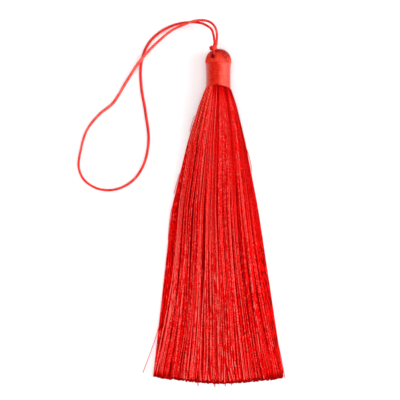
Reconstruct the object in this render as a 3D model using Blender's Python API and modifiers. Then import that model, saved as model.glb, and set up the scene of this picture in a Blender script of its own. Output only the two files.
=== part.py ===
"""A silky tassel with a wound neck and a knotted cord loop, lying on a level surface.

Metres, +Z up. The surface is z = 0. The origin is on it, under the middle of the tassel
without its cord. +Y runs along the tassel, from the skirt's cut ends to its round head.
"""

import math
import random
from collections import namedtuple

import bmesh
import bpy
from mathutils import Matrix, Vector

MM = 0.001

# The whole tassel: the head's tip and the skirt's cut ends are as far from the origin.
HALF_LENGTH = 64.9 * MM
PIECE_GAP = 0.3 * MM

# The wound neck, a sleeve round the bundle. Its underside is flat where it rests.
BINDING_TOP_Y = 59.4 * MM
BINDING_BOTTOM_Y = 50.5 * MM
BINDING_RADIUS = 4.62 * MM
BINDING_WALL = 0.32 * MM
BINDING_TURNS = 12
TURN_DEPTH = 0.12 * MM
BINDING_SIDES = 36
FLAT_DEPTH = 0.18 * MM
AXIS_HEIGHT = BINDING_RADIUS - FLAT_DEPTH
FLOOR_BLOCK = (20 * MM, 20 * MM, 4 * MM)

# The bundle inside the sleeve, and the round head that its fold makes.
CORE_RADIUS = BINDING_RADIUS - BINDING_WALL - PIECE_GAP
HEAD_HALF_WIDTH = 4.9 * MM
HEAD_HALF_HEIGHT = 4.4 * MM
HEAD_ROUNDNESS = 2.2
HEAD_SIDES = 44
HEAD_RINGS = 7
HEAD_LAST_RING = 0.985

# The skirt's locks: columns across it, and layers in the column that is in the middle.
COLUMNS = 38
MOST_LAYERS = 7
ROOT_DEPTH = 0.6 * MM
ROOT_MARGIN = 0.1 * MM
SIDE_HEIGHT_SHARE = 0.3
COLUMN_WIDTHS = (0.75, 1.25)
LOCK_WIDTH_SHARES = (0.7, 0.9)
LOCK_HEIGHT_SHARES = (0.7, 0.9)
TOP_LOCK_RISE = 0.35
TOP_LAYER_SHORTER = 1.5 * MM
FLOOR_LAYER_SHORTER = 0.6 * MM
SIDES_SHORTER = 3.4 * MM
END_RAGGED = 0.5 * MM

# Sections of the skirt, in mm. left, right, low and high are its edges, and level is 0 where
# its underside is round and 1 where it lies flat.
Section = namedtuple("Section", "y left right low high level")
ROOT = CORE_RADIUS / MM - ROOT_MARGIN / MM
AXIS = AXIS_HEIGHT / MM
SECTIONS = (
    Section(50.5, -ROOT, ROOT, AXIS - ROOT, AXIS + ROOT, 0.0),
    Section(47.8, -5.7, 5.2, 0.1, 8.5, 0.4),
    Section(30.0, -11.8, 10.6, 0.0, 7.4, 1.0),
    Section(4.0, -18.0, 15.5, 0.0, 6.0, 1.0),
    Section(-64.9, -25.6, 25.6, 0.0, 4.4, 1.0),
)

# The cord, and its route in mm: from the knot over the loop's top, down the left side, round
# the bottom and back up to the knot. The way out lies on the way back where they cross.
CORD_RADIUS = 0.575 * MM
CORD_POINTS = 80
CURVE_STEPS = 24
Stop = namedtuple("Stop", "x y z")
ROUTE = (
    Stop(-0.75, 67.1, 7.85),
    Stop(-0.6, 69.3, 7.8),
    Stop(-1.2, 72.5, 7.4),
    Stop(-3.1, 74.7, 6.9),
    Stop(-6.3, 75.6, 6.3),
    Stop(-9.5, 75.4, 5.6),
    Stop(-12.2, 74.6, 4.9),
    Stop(-17.6, 72.5, 3.7),
    Stop(-23.1, 68.3, 2.7),
    Stop(-27.8, 63.8, 2.1),
    Stop(-29.9, 61.4, 2.0),
    Stop(-32.1, 58.5, 1.6),
    Stop(-34.2, 55.3, 1.0),
    Stop(-36.6, 51.5, 0.65),
    Stop(-38.8, 47.7, 0.6),
    Stop(-41.0, 44.6, 0.6),
    Stop(-46.2, 40.3, 0.6),
    Stop(-50.8, 34.6, 0.6),
    Stop(-53.4, 26.7, 0.6),
    Stop(-54.1, 18.8, 0.6),
    Stop(-52.5, 15.2, 0.6),
    Stop(-49.3, 12.5, 0.6),
    Stop(-44.8, 10.9, 0.6),
    Stop(-40.1, 11.0, 0.6),
    Stop(-35.9, 12.6, 0.6),
    Stop(-32.3, 15.4, 0.6),
    Stop(-29.6, 19.4, 0.6),
    Stop(-27.1, 29.5, 0.6),
    Stop(-28.2, 40.6, 0.6),
    Stop(-29.9, 51.0, 0.6),
    Stop(-30.2, 56.0, 0.6),
    Stop(-29.8, 60.9, 0.6),
    Stop(-26.5, 68.7, 0.65),
    Stop(-23.4, 71.6, 1.0),
    Stop(-19.7, 73.7, 1.7),
    Stop(-12.1, 75.4, 3.4),
    Stop(-4.9, 74.1, 5.1),
    Stop(-2.7, 72.3, 5.8),
    Stop(-1.8, 69.4, 6.3),
    Stop(-1.45, 67.1, 6.25),
)

# The knot, in mm: the cord's first leg winds once and a half round its second, which runs on
# into the head.
HITCH = (
    Stop(-0.77, 66.8, 7.86),
    Stop(-0.8, 66.35, 7.88),
    Stop(-1.02, 65.92, 7.99),
    Stop(-1.5, 65.66, 8.12),
    Stop(-2.1, 65.56, 8.0),
    Stop(-2.58, 65.53, 7.58),
    Stop(-2.73, 65.51, 6.98),
    Stop(-2.46, 65.47, 6.44),
    Stop(-1.9, 65.41, 6.2),
    Stop(-1.34, 65.31, 6.38),
    Stop(-0.99, 65.1, 6.88),
    Stop(-0.97, 64.8, 7.46),
    Stop(-1.28, 64.5, 7.98),
    Stop(-1.84, 64.3, 8.28),
    Stop(-2.46, 64.2, 8.26),
)
HITCH_POINTS = 24
LEG = (
    Stop(-1.5, 66.75, 6.25),
    Stop(-1.56, 66.35, 6.35),
    Stop(-1.75, 65.6, 6.95),
    Stop(-1.95, 64.4, 7.65),
    Stop(-2.1, 63.2, 7.95),
    Stop(-2.15, 62.2, 7.8),
    Stop(-2.15, 61.4, 7.0),
    Stop(-2.15, 61.0, 6.2),
)
LEG_POINTS = 14

RED_THREAD = (0.62, 0.012, 0.010, 1.0)
RED_BINDING = (0.66, 0.022, 0.014, 1.0)
RED_CORD = (0.74, 0.045, 0.030, 1.0)
SMOOTH_ANGLE = math.radians(40)


def clear_scene():
    for obj in list(bpy.data.objects):
        bpy.data.objects.remove(obj, do_unlink=True)


def new_collection(name):
    collection = bpy.data.collections.new(name)
    bpy.context.scene.collection.children.link(collection)
    return collection


def silk(name, colour, roughness):
    """A shiny dyed thread: no metal, a soft gloss and a little sheen."""
    material = bpy.data.materials.new(name)
    material.use_nodes = True
    shader = material.node_tree.nodes["Principled BSDF"]
    shader.inputs["Base Color"].default_value = colour
    shader.inputs["Roughness"].default_value = roughness
    shader.inputs["Metallic"].default_value = 0.0
    shader.inputs["Sheen Weight"].default_value = 0.3
    material.diffuse_color = colour
    return material


def add_object(name, data, collection, material=None):
    obj = bpy.data.objects.new(name, data)
    collection.objects.link(obj)
    if material:
        data.materials.append(material)
    return obj


def mesh_from(bm, name):
    """Makes a bmesh a mesh whose faces point outwards, shaded smooth but for its sharp edges."""
    bmesh.ops.recalc_face_normals(bm, faces=bm.faces)
    mesh = bpy.data.meshes.new(name)
    bm.to_mesh(mesh)
    bm.free()
    mesh.shade_smooth()
    mesh.set_sharp_from_angle(angle=SMOOTH_ANGLE)
    return mesh


def add_boolean(obj, helper, operation):
    """Joins a helper to an object, or cuts it away, and keeps the helper out of the render."""
    modifier = obj.modifiers.new(operation.title(), "BOOLEAN")
    modifier.operation = operation
    modifier.object = helper
    helper.hide_render = True
    helper.display_type = "WIRE"


def loft(bm, rings):
    """A closed solid through rings that have the same number of corners, with flat ends."""
    loops = [[bm.verts.new(point) for point in ring] for ring in rings]
    for near, far in zip(loops, loops[1:]):
        for n in range(len(near)):
            bm.faces.new((near[n - 1], near[n], far[n], far[n - 1]))
    bm.faces.new(loops[0])
    return bm.faces.new(loops[-1])


def smooth_path(stops):
    """A fine path on one smooth curve through the stops: cubic runs with shared slopes."""
    knots = [Vector(stop[:]) * MM for stop in stops]
    spans = [(b - a).length for a, b in zip(knots, knots[1:])]
    runs = [(b - a) / span for a, b, span in zip(knots, knots[1:], spans)]
    slopes = [runs[0]]
    for n in range(1, len(runs)):
        slopes.append(runs[n - 1].lerp(runs[n], spans[n - 1] / (spans[n - 1] + spans[n])))
    slopes.append(runs[-1])
    path = []
    for n, span in enumerate(spans):
        for step in range(CURVE_STEPS):
            t = step / CURVE_STEPS
            path.append(
                (2 * t**3 - 3 * t**2 + 1) * knots[n]
                + (t**3 - 2 * t**2 + t) * span * slopes[n]
                + (3 * t**2 - 2 * t**3) * knots[n + 1]
                + (t**3 - t**2) * span * slopes[n + 1]
            )
    return path + [knots[-1]]


def spread_evenly(path, count):
    """As many points as asked along a fine path, the same length apart."""
    reach = [0.0]
    for a, b in zip(path, path[1:]):
        reach.append(reach[-1] + (b - a).length)
    points = []
    n = 0
    for step in range(count):
        goal = reach[-1] * step / (count - 1)
        while n < len(path) - 2 and reach[n + 1] < goal:
            n += 1
        points.append(path[n].lerp(path[n + 1], (goal - reach[n]) / (reach[n + 1] - reach[n])))
    return points


def tube(name, points, radius, collection, material=None):
    """A length of cord: a poly spline with a round bevel and closed ends."""
    curve = bpy.data.curves.new(name, "CURVE")
    curve.dimensions = "3D"
    curve.bevel_depth = radius
    curve.bevel_resolution = 2
    curve.use_fill_caps = True
    spline = curve.splines.new("POLY")
    spline.points.add(len(points) - 1)
    for spot, point in zip(spline.points, points):
        spot.co = (*point, 1.0)
    return add_object(name, curve, collection, material)


def tube_as_mesh(name, points, radius, collection, material=None):
    """The same length of cord as one closed mesh, which a Boolean can take."""
    curve = tube(name + "_curve", points, radius, collection)
    graph = bpy.context.evaluated_depsgraph_get()
    evaluated = bpy.data.meshes.new_from_object(curve.evaluated_get(graph))
    bm = bmesh.new()
    bm.from_mesh(evaluated)
    bmesh.ops.remove_doubles(bm, verts=bm.verts, dist=0.001 * MM)
    closed = add_object(name, mesh_from(bm, name), collection, material)
    closed.matrix_world = curve.matrix_world
    bpy.data.objects.remove(curve, do_unlink=True)
    bpy.data.meshes.remove(evaluated)
    return closed


def core_ring(y, half_width, half_height):
    """The corners of a ring round the neck's axis."""
    angles = [math.tau * n / HEAD_SIDES for n in range(HEAD_SIDES)]
    return [
        (half_width * math.cos(a), y, AXIS_HEIGHT + half_height * math.sin(a)) for a in angles
    ]


def build_core():
    """The folded bundle without its skirt: a straight neck and the round head."""
    head_y = BINDING_TOP_Y + PIECE_GAP
    rings = [
        core_ring(BINDING_BOTTOM_Y, CORE_RADIUS, CORE_RADIUS),
        core_ring(BINDING_TOP_Y, CORE_RADIUS, CORE_RADIUS),
    ]
    for n in range(HEAD_RINGS):
        along = HEAD_LAST_RING * math.sin(math.radians(90) * n / (HEAD_RINGS - 1))
        share = (1 - along**HEAD_ROUNDNESS) ** (1 / HEAD_ROUNDNESS)
        y = head_y + along * (HALF_LENGTH - head_y)
        rings.append(core_ring(y, HEAD_HALF_WIDTH * share, HEAD_HALF_HEIGHT * share))
    bm = bmesh.new()
    tip = loft(bm, rings)
    pole = bmesh.ops.poke(bm, faces=[tip])["verts"][0]
    pole.co.y = HALF_LENGTH
    return mesh_from(bm, "thread_bundle")


def section_at(y):
    """The skirt's section at y, in mm, between the two rows of the table beside it."""
    if y > SECTIONS[0].y:
        return SECTIONS[0]
    for near, far in zip(SECTIONS, SECTIONS[1:]):
        if y >= far.y:
            share = (near.y - y) / (near.y - far.y)
            return Section(*(a + (b - a) * share for a, b in zip(near, far)))
    return SECTIONS[-1]


def spot_in_skirt(y, across, up):
    """A spot of the skirt's section at y: across from -1 to 1, and up from 0 to 1."""
    section = section_at(y / MM)
    middle = (section.left + section.right) / 2
    half = (section.right - section.left) / 2
    chord = math.sqrt(1 - across * across)
    tall = section.high - section.low
    low = (1 - section.level) * (1 - chord) / 2
    level_high = SIDE_HEIGHT_SHARE + (1 - SIDE_HEIGHT_SHARE) * chord
    high = (1 - section.level) * (1 + chord) / 2 + section.level * level_high
    z = section.low + tall * (low + (high - low) * up)
    return (middle + half * across) * MM, y, z * MM


def column_edges(rng):
    """Where the skirt's columns of locks part, from -1 to 1. They are of uneven widths."""
    widths = [rng.uniform(*COLUMN_WIDTHS) for _ in range(COLUMNS)]
    edges = [-1.0]
    for width in widths:
        edges.append(edges[-1] + 2 * width / sum(widths))
    return edges


def add_lock(bm, rng, sides, layer, layers):
    """One lock of the skirt, a four-sided bar from inside the core to its cut end."""
    middle = (sides[0] + sides[1]) / 2
    half_width = rng.uniform(*LOCK_WIDTH_SHARES) * (sides[1] - sides[0]) / 2
    left, right = middle - half_width, middle + half_width
    half_height = rng.uniform(*LOCK_HEIGHT_SHARES) / 2
    low = (layer + 0.5 - half_height) / layers
    high = (layer + 0.5 + half_height) / layers
    shorter = TOP_LAYER_SHORTER * (layer - 1) / layers
    if layer == 0:
        low = 0.0
        shorter = FLOOR_LAYER_SHORTER
    if layer == layers - 1:
        high += rng.uniform(0, TOP_LOCK_RISE) / layers
    shorter += SIDES_SHORTER * middle * middle + rng.uniform(0, END_RAGGED)
    stations = [BINDING_BOTTOM_Y + ROOT_DEPTH]
    stations += [section.y * MM for section in SECTIONS[:-1]]
    stations += [shorter - HALF_LENGTH]
    corners = ((left, low), (right, low), (right, high), (left, high))
    loft(bm, [[spot_in_skirt(y, *corner) for corner in corners] for y in stations])


def build_locks():
    """All the skirt's locks, apart from each other. A column near a side has fewer layers."""
    rng = random.Random(11)
    edges = column_edges(rng)
    bm = bmesh.new()
    for sides in zip(edges, edges[1:]):
        middle = (sides[0] + sides[1]) / 2
        layers = max(2, round(MOST_LAYERS * math.sqrt(1 - middle * middle)))
        for layer in range(layers):
            add_lock(bm, rng, sides, layer, layers)
    return mesh_from(bm, "skirt_locks")


def build_bundle(parts, cutters):
    """The thread bundle: its locks are joined to the core, and the cord's leg has a hollow."""
    bundle = add_object("thread_bundle", build_core(), parts, silk("thread", RED_THREAD, 0.42))
    add_boolean(bundle, add_object("skirt_locks", build_locks(), cutters), "UNION")
    points = spread_evenly(smooth_path(LEG), LEG_POINTS)
    points.append(points[-1] + (points[-1] - points[-2]).normalized() * PIECE_GAP)
    hollow = tube_as_mesh("leg_hollow", points, CORD_RADIUS + PIECE_GAP, cutters)
    add_boolean(bundle, hollow, "DIFFERENCE")


def build_binding(parts, cutters):
    """The neck binding: a ridged sleeve, turned round the neck and flat underneath."""
    rows = 2 * BINDING_TURNS
    step = (BINDING_TOP_Y - BINDING_BOTTOM_Y) / rows
    bm = bmesh.new()
    profile = [
        bm.verts.new((BINDING_RADIUS - (0 if n % 2 else TURN_DEPTH), BINDING_TOP_Y - step * n, 0))
        for n in range(rows + 1)
    ]
    for y in (BINDING_BOTTOM_Y, BINDING_TOP_Y):
        profile.append(bm.verts.new((BINDING_RADIUS - BINDING_WALL, y, 0)))
    for n, vert in enumerate(profile):
        bm.edges.new((profile[n - 1], vert))
    mesh = bpy.data.meshes.new("neck_binding")
    bm.to_mesh(mesh)
    bm.free()
    binding = add_object("neck_binding", mesh, parts, silk("binding", RED_BINDING, 0.34))
    binding.location.z = AXIS_HEIGHT
    turn = binding.modifiers.new("Turn", "SCREW")
    turn.axis = "Y"
    turn.steps = BINDING_SIDES
    turn.render_steps = BINDING_SIDES
    turn.use_merge_vertices = True
    turn.merge_threshold = 0.01 * MM
    bm = bmesh.new()
    bmesh.ops.create_cube(bm, size=1.0)
    block = add_object("floor_block", mesh_from(bm, "floor_block"), cutters)
    block.data.transform(Matrix.Diagonal((*FLOOR_BLOCK, 1.0)))
    block.location = (0, (BINDING_TOP_Y + BINDING_BOTTOM_Y) / 2, -FLOOR_BLOCK[2] / 2)
    add_boolean(binding, block, "DIFFERENCE")


def build_knot(parts, cutters, material):
    """The knot: the hitch joined to the leg that runs into the head."""
    leg = spread_evenly(smooth_path(LEG), LEG_POINTS)
    knot = tube_as_mesh("loop_knot", leg, CORD_RADIUS, parts, material)
    turns = spread_evenly(smooth_path(HITCH), HITCH_POINTS)
    add_boolean(knot, tube_as_mesh("hitch", turns, CORD_RADIUS, cutters), "UNION")


def build_tassel():
    clear_scene()
    parts = new_collection("tassel")
    cutters = new_collection("cutters")
    cutters.hide_render = True
    cord = silk("cord", RED_CORD, 0.36)
    build_bundle(parts, cutters)
    build_binding(parts, cutters)
    build_knot(parts, cutters, cord)
    tube("loop_cord", spread_evenly(smooth_path(ROUTE), CORD_POINTS), CORD_RADIUS, parts, cord)


build_tassel()
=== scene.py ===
"""The looks of a silky tassel with a wound neck and a knotted cord loop, lying on a pale surface.

Metres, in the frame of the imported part: z = 0 is the surface, and +Y runs from the cut ends to the head.
The threads' and the winding's sizes are in millimetres, and their points become metres as they are placed.
"""

import math
from collections import namedtuple

import bmesh
import bpy
import numpy as np
from mathutils import Matrix, Vector


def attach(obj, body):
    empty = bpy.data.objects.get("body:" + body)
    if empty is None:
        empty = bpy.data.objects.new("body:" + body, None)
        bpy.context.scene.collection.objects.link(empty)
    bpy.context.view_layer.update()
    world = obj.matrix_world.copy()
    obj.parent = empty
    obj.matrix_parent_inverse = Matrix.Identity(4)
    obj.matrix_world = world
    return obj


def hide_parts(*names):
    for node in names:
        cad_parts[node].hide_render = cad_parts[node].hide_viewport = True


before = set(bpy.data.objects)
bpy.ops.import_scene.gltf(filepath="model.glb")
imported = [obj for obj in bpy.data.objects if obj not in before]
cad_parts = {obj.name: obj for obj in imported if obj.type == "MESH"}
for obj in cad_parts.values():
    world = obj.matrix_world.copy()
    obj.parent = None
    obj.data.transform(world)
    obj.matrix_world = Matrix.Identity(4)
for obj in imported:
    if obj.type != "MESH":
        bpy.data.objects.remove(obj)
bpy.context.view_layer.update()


# Camera.
# It hangs straight over the tassel, as the photograph's did, with the head at the top. Its lens takes in
# the whole tassel and its loop, with a margin all round.
MM = 0.001
CAMERA_HEIGHT = 300 * MM
VIEW_WIDTH = 156 * MM
VIEW_MIDDLE = (-7.06 * MM, 6.95 * MM)
SENSOR_WIDTH = 36
NEAREST_SEEN = 10 * MM

camera_data = bpy.data.cameras.new("camera")
camera_data.sensor_width = SENSOR_WIDTH
camera_data.lens = SENSOR_WIDTH * CAMERA_HEIGHT / VIEW_WIDTH
camera_data.clip_start = NEAREST_SEEN
camera = bpy.data.objects.new("camera", camera_data)
camera.location = (*VIEW_MIDDLE, CAMERA_HEIGHT)
bpy.context.scene.collection.objects.link(camera)
bpy.context.scene.camera = camera


# Hanging cord.
# A thin satin cord of three plies laid together to the right. It comes up out of the knot, goes round
# the loop, and comes back to the knot. The way out lies on the way back where they cross.
CORD_DIAMETER = 1.15 * MM
CORD_PLIES = 3
CORD_LAY = 2.6 * MM
CORD_GROOVE = 0.2
CORD_SIDES = 18
CORD_RINGS = 1000
CORD_WIDTHS = (
    *(0.85, 0.85, 0.92, 1.0, 1.05, 1.0, 0.85, 0.8, 0.85),
    *(0.9, 0.95, 1.0, 1.0, 1.0, 0.95, 0.88, 0.85),
)
CORD_SHADES = (
    *(0.2, 0.3, 0.7, 0.8, 0.85, 0.8, 0.5, 0.3, 0.3),
    *(0.3, 0.2, 0.1, 0.05, 0.05, 0.05, 0.1, 0.1),
)
CURVE_STEPS = 24
SHARP_ANGLE = math.radians(60)
Stop = namedtuple("Stop", "x y z")
ROUTE = (
    Stop(-0.75, 67.1, 7.85),
    Stop(-0.6, 69.3, 7.8),
    Stop(-1.2, 72.5, 7.4),
    Stop(-3.1, 74.7, 6.9),
    Stop(-6.3, 75.6, 6.3),
    Stop(-9.5, 75.4, 5.6),
    Stop(-12.2, 74.6, 4.9),
    Stop(-17.6, 72.5, 3.7),
    Stop(-23.1, 68.3, 2.7),
    Stop(-27.8, 63.8, 2.1),
    Stop(-29.9, 61.4, 2.0),
    Stop(-32.1, 58.5, 1.6),
    Stop(-34.2, 55.3, 1.0),
    Stop(-36.6, 51.5, 0.65),
    Stop(-38.8, 47.7, 0.6),
    Stop(-41.0, 44.6, 0.6),
    Stop(-46.2, 40.3, 0.6),
    Stop(-50.8, 34.6, 0.6),
    Stop(-53.4, 26.7, 0.6),
    Stop(-54.1, 18.8, 0.6),
    Stop(-52.5, 15.2, 0.6),
    Stop(-49.3, 12.5, 0.6),
    Stop(-44.8, 10.9, 0.6),
    Stop(-40.1, 11.0, 0.6),
    Stop(-35.9, 12.6, 0.6),
    Stop(-32.3, 15.4, 0.6),
    Stop(-29.6, 19.4, 0.6),
    Stop(-27.1, 29.5, 0.6),
    Stop(-28.2, 40.6, 0.6),
    Stop(-29.9, 51.0, 0.6),
    Stop(-30.2, 56.0, 0.6),
    Stop(-29.8, 60.9, 0.6),
    Stop(-26.5, 68.7, 0.65),
    Stop(-23.4, 71.6, 1.0),
    Stop(-19.7, 73.7, 1.7),
    Stop(-12.1, 75.4, 3.4),
    Stop(-4.9, 74.1, 5.1),
    Stop(-2.7, 72.3, 5.8),
    Stop(-1.8, 69.4, 6.3),
    Stop(-1.45, 67.1, 6.25),
)


def smooth_path(stops):
    """A fine path on one smooth curve through the stops: cubic runs with shared slopes."""
    knots = [Vector(stop[:]) * MM for stop in stops]
    spans = [(b - a).length for a, b in zip(knots, knots[1:])]
    runs = [(b - a) / span for a, b, span in zip(knots, knots[1:], spans)]
    slopes = [runs[0]]
    for n in range(1, len(runs)):
        slopes.append(runs[n - 1].lerp(runs[n], spans[n - 1] / (spans[n - 1] + spans[n])))
    slopes.append(runs[-1])
    path = []
    for n, span in enumerate(spans):
        for step in range(CURVE_STEPS):
            t = step / CURVE_STEPS
            path.append(
                (2 * t**3 - 3 * t**2 + 1) * knots[n]
                + (t**3 - 2 * t**2 + t) * span * slopes[n]
                + (3 * t**2 - 2 * t**3) * knots[n + 1]
                + (t**3 - t**2) * span * slopes[n + 1]
            )
    return np.array(path + [knots[-1]])


def spread_evenly(path, count):
    """As many points as asked along a fine path, the same length apart."""
    reach = np.concatenate([[0], np.cumsum(np.linalg.norm(np.diff(path, axis=0), axis=1))])
    goals = np.linspace(0, reach[-1], count)
    return np.stack([np.interp(goals, reach, path[:, axis]) for axis in range(3)], axis=1)


def unit(vectors):
    """The same directions, each with a length of one."""
    return vectors / np.linalg.norm(vectors, axis=-1, keepdims=True)


def steady_sides(path):
    """For each point of a path, a direction square to it that never turns about it."""
    along = unit(np.gradient(path, axis=0))
    side = np.cross(along[0], (0, 0, 1))
    sides = []
    for direction in along:
        side = side - direction * (side @ direction)
        side = side / np.linalg.norm(side)
        sides.append(side)
    return np.array(sides)


def straight_rod(name, corners, rings, plies=0, groove=0.0, turns=0.0, stations=None):
    """A rod of radius 1 that stands on z = 0, with a ring at each whole z and closed ends.

    Its plies twist round it, and its UV map gives the way round its plies, and the way along it. The
    stations say how far along the rings will be, and without them the rings are the same length apart.
    """
    top = rings - 1
    stations = np.linspace(0, 1, rings) if stations is None else stations
    bm = bmesh.new()
    bmesh.ops.create_cone(bm, cap_ends=True, segments=corners, radius1=1.0, radius2=1.0, depth=top)
    bmesh.ops.translate(bm, verts=bm.verts, vec=(0, 0, top / 2))
    lengthwise = [edge for edge in bm.edges if edge.verts[0].co.z != edge.verts[1].co.z]
    bmesh.ops.subdivide_edges(bm, edges=lengthwise, cuts=rings - 2, use_grid_fill=True)
    layer = bm.loops.layers.uv.new("lay")
    for face in bm.faces:
        places = [math.atan2(loop.vert.co.y, loop.vert.co.x) / math.tau % 1.0 for loop in face.loops]
        for loop, place in zip(face.loops, places):
            if max(places) - place > 0.5:
                place += 1.0
            loop[layer].uv = (place, stations[round(loop.vert.co.z)])
    for vert in bm.verts:
        way_round = math.atan2(vert.co.y, vert.co.x)
        radius = 1 - groove * (1 - abs(math.cos(plies * way_round / 2)))
        way_round += math.tau * turns * vert.co.z / top
        vert.co.x = radius * math.cos(way_round)
        vert.co.y = radius * math.sin(way_round)
    mesh = bpy.data.meshes.new(name)
    bm.to_mesh(mesh)
    bm.free()
    return mesh


def array_of(rod, count):
    """One mesh that holds as many copies of a rod as asked, all in the same place."""
    holder = bpy.data.objects.new("holder", rod)
    bpy.context.scene.collection.objects.link(holder)
    array = holder.modifiers.new("Copies", "ARRAY")
    array.count = count
    array.use_relative_offset = False
    graph = bpy.context.evaluated_depsgraph_get()
    mesh = bpy.data.meshes.new_from_object(holder.evaluated_get(graph))
    bpy.data.objects.remove(holder)
    bpy.data.meshes.remove(rod)
    return mesh


def lay_rods(mesh, paths, radii, sides, shades):
    """Bends each copy of a rod in a mesh along its own path.

    The radii and the shades are given for each ring, or for each rod, or once for all, and so are the sides
    that the rods' first corners face.
    """
    count = len(paths)
    rod = np.empty(len(mesh.vertices) * 3, np.float32)
    mesh.vertices.foreach_get("co", rod)
    rod = rod.reshape(count, -1, 3)
    ring = np.rint(rod[0, :, 2]).astype(int)
    along = unit(np.gradient(paths, axis=1))
    right = unit(sides - along * (sides * along).sum(axis=-1, keepdims=True))
    up = np.cross(along, right)
    across = rod[..., 0:1] * right[:, ring] + rod[..., 1:2] * up[:, ring]
    radii = np.broadcast_to(radii, paths.shape[:2])
    placed = paths[:, ring] + radii[:, ring, None] * across
    mesh.vertices.foreach_set("co", placed.astype(np.float32).ravel())
    shade = mesh.attributes.new("shade", "FLOAT", "POINT")
    shades = np.broadcast_to(shades, paths.shape[:2])
    shade.data.foreach_set("value", shades[:, ring].astype(np.float32).ravel())
    mesh.update()
    mesh.shade_smooth()
    mesh.set_sharp_from_angle(angle=SHARP_ANGLE)


def add_piece(name, mesh, material, slot, *nodes):
    """Shows a finished mesh as a piece of the tassel, in the place of the part's own nodes."""
    mesh.name = name
    mesh.materials.clear()
    mesh.materials.append(material)
    piece = bpy.data.objects.new(name, mesh)
    bpy.context.scene.collection.objects.link(piece)
    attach(piece, "root")
    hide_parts(*nodes)
    return piece


def add_node(tree, kind, inputs, **settings):
    """Adds a shader node. An input is given a value, or another node's output to read."""
    node = tree.nodes.new(kind)
    for name, value in settings.items():
        setattr(node, name, value)
    for socket, value in inputs.items():
        if isinstance(value, bpy.types.NodeSocket):
            tree.links.new(value, node.inputs[socket])
        else:
            node.inputs[socket].default_value = value
    return node


def calculate(tree, operation, *values):
    """The output of a math node."""
    return add_node(tree, "ShaderNodeMath", dict(enumerate(values)), operation=operation).outputs[0]


# The dyed rayon of every piece: paler threads are twisted harder, and no two have their plies, fibres or
# streaks at the same place.
LEAST_TWIST = 0.7
PALE_TWIST = 0.6
PLIES_OFFSET = 40.0
FIBRES_SLANT = 7.0
FIBRES_HEIGHT = 0.12
STREAKS_OFFSET = 900.0
STREAKS_ROUND = 0.35
STREAKS_TURNS = 8.0
SHADE_WEIGHT = 1.1
# How sharply the painted highlight gathers on the plies' crests, and the painted shade on each thread's
# sides.
PAINTED_CREST_SHARPNESS = 2.0
PAINTED_FLANK_SHARPNESS = 3.0
RELIEF_DEPTH = 0.2 * MM


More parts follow.
